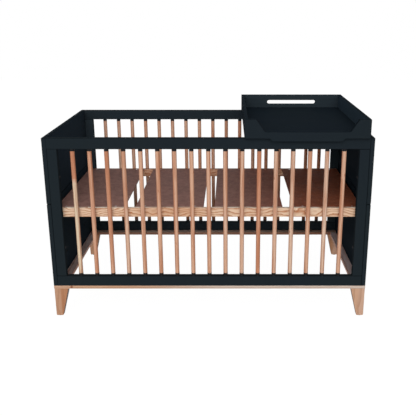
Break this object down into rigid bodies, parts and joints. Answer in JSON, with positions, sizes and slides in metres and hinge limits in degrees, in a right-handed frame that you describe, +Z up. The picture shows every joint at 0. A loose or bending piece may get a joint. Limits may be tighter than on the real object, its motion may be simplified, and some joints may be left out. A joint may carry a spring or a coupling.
{
  "type": "convertible crib",
  "caption": "Black crib with wooden bars, end panels split at a seam, tapered legs, a raised panelled base and a changing tray on the rails.",
  "frame": {"origin": "on the floor, under the middle of the crib's box with the tray's front lip included", "axes": "+X along the length to the right, +Y from front to rear, +Z up"},
  "size_m": [1.345, 0.7606, 0.867],
  "materials": {
    "black_lacquer": "satin bluish-black lacquer on MDF",
    "bar_wood": "oiled hardwood, pinkish tan",
    "cap_plastic": "black plastic",
    "plinth_wood": "oiled hardwood",
    "glide_plastic": "dark plastic",
    "dowel_wood": "raw beech",
    "black_steel": "black coated steel",
    "insert_brass": "plain",
    "zinc_steel": "zinc plated",
    "base_wood": "plain softwood with strong grain",
    "hardboard": "brown hardboard, smooth face up"
  },
  "bodies": {
    "crib": {"left_end_lower": "black_lacquer", "left_end_upper": "black_lacquer", "right_end_lower": "black_lacquer", "right_end_upper": "black_lacquer", "front_top_rail": "black_lacquer", "front_bottom_rail": "black_lacquer", "front_left_stile": "black_lacquer", "front_right_stile": "black_lacquer", "rear_top_rail": "black_lacquer", "rear_bottom_rail": "black_lacquer", "rear_left_stile": "black_lacquer", "rear_right_stile": "black_lacquer", "front_bars": "bar_wood", "rear_bars": "bar_wood", "front_ferrules": "cap_plastic", "rear_ferrules": "cap_plastic", "plinth_front_rail": "plinth_wood", "plinth_rear_rail": "plinth_wood", "plinth_left_rail": "plinth_wood", "plinth_right_rail": "plinth_wood", "front_left_leg": "plinth_wood", "front_right_leg": "plinth_wood", "rear_left_leg": "plinth_wood", "rear_right_leg": "plinth_wood", "leg_glides": "glide_plastic", "seam_dowels": "dowel_wood", "frame_dowels": "dowel_wood", "plinth_dowels": "dowel_wood", "stile_bolts": "black_steel", "insert_nuts": "insert_brass", "leg_screws": "zinc_steel", "plinth_screws": "zinc_steel", "base_brackets": "black_steel", "bracket_bolts": "black_steel"},
    "mattress_base": {"base_front_rail": "base_wood", "base_rear_rail": "base_wood", "base_left_rail": "base_wood", "base_right_rail": "base_wood", "base_panel_1": "hardboard", "base_panel_2": "hardboard", "base_panel_3": "hardboard", "base_panel_4": "hardboard", "base_cleats": "base_wood", "base_dowels": "dowel_wood", "cleat_screws": "zinc_steel", "panel_screws": "zinc_steel"},
    "changing_tray": {"tray_front_board": "black_lacquer", "tray_rear_board": "black_lacquer", "tray_left_board": "black_lacquer", "tray_right_board": "black_lacquer", "tray_floor": "black_lacquer", "tray_stop": "black_lacquer", "tray_dowels": "dowel_wood"}
  },
  "joints": [
    {"name": "base_lift", "type": "slide", "parent": "crib", "child": "mattress_base", "axis": [0, 0, 1], "range_m": [0, 0.25]},
    {"name": "tray_slide", "type": "slide", "parent": "crib", "child": "changing_tray", "axis": [-1, 0, 0], "range_m": [0, 0.797]}
  ]
}
